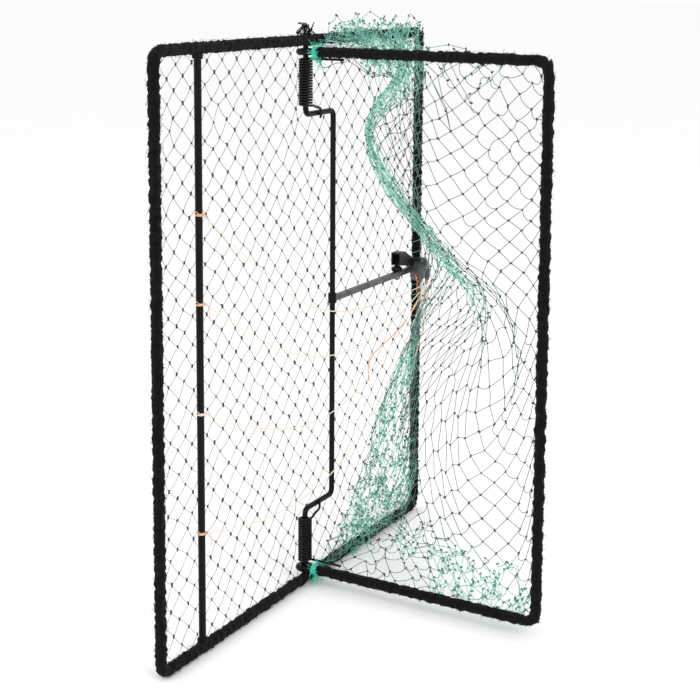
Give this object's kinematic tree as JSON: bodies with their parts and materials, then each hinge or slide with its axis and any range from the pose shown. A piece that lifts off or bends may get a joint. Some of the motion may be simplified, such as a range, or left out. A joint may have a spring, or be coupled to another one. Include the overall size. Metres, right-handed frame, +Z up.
{
  "type": "folding spring net trap",
  "caption": "Folding flip-net trap: flat netted frame, spring-loaded bow carrying a slack bag net, cranked axle, trip bar with threads and a latch.",
  "frame": {"origin": "the hinge axis at the underside of the base frame's bottom rail", "axes": "+Z up along the hinge axis; base frame in the XZ plane, trip bar half at -X, latch half at +X; the bow stands out towards -Y"},
  "size_m": [0.5, 0.2493, 0.5],
  "materials": {
    "black_steel": "black paint, satin",
    "plain_steel": "dull rolled steel",
    "black_cloth": "frayed cloth tape",
    "dark_twine": "knotted nylon twine, dark green",
    "teal_twine": "knotted nylon twine, teal",
    "lashing": "bright teal twine",
    "cream_thread": "polyester thread, cream",
    "orange_thread": "polyester thread, orange"
  },
  "bodies": {
    "base": {"base_frame_rod": "black_steel", "base_wrap_top": "black_cloth", "base_wrap_bottom": "black_cloth", "base_wrap_near": "black_cloth", "base_wrap_far": "black_cloth", "base_corner_wraps": "black_cloth", "trip_bar": "black_steel", "trip_ties": "orange_thread", "crank_axle": "black_steel", "upper_spring": "black_steel", "lower_spring": "black_steel", "brace_arm": "plain_steel", "brace_collar": "black_steel", "latch_bracket": "plain_steel", "latch_pin": "black_steel", "adjusting_nut": "black_steel", "floor_net": "dark_twine", "bag_net": "teal_twine", "trip_thread_1": "cream_thread", "trip_thread_2": "cream_thread", "trip_thread_3": "cream_thread", "trip_thread_4": "cream_thread", "thread_tail_long": "orange_thread", "thread_tail_short": "cream_thread"},
    "bow": {"bow_rod": "black_steel", "bow_wrap_top": "black_cloth", "bow_wrap_bottom": "black_cloth", "bow_wrap_side": "black_cloth", "bow_corner_wraps": "black_cloth", "bow_lashing_top": "lashing", "bow_lashing_bottom": "lashing"},
    "latch": {"latch_lever": "black_steel", "trip_knot": "orange_thread"},
    "screw": {"adjusting_screw": "black_steel"}
  },
  "joints": [
    {"name": "bow_swing", "type": "hinge", "parent": "base", "child": "bow", "pos_m": [0, 0, 0.25], "axis": [0, 0, 1], "range_deg": [-79, 95.8], "deforming": ["bag_net", "upper_spring", "lower_spring"]},
    {"name": "latch_pivot", "type": "hinge", "parent": "base", "child": "latch", "pos_m": [0.227, -0.012, 0.264], "axis": [0, 1, 0], "range_deg": [0, 22], "deforming": ["trip_thread_1", "trip_thread_2", "trip_thread_3", "trip_thread_4", "thread_tail_long", "thread_tail_short"]},
    {"name": "screw_turn", "type": "hinge", "parent": "base", "child": "screw", "pos_m": [0.1942, -0.0015, 0.262], "axis": [0, 0, 1], "continuous": true}
  ]
}
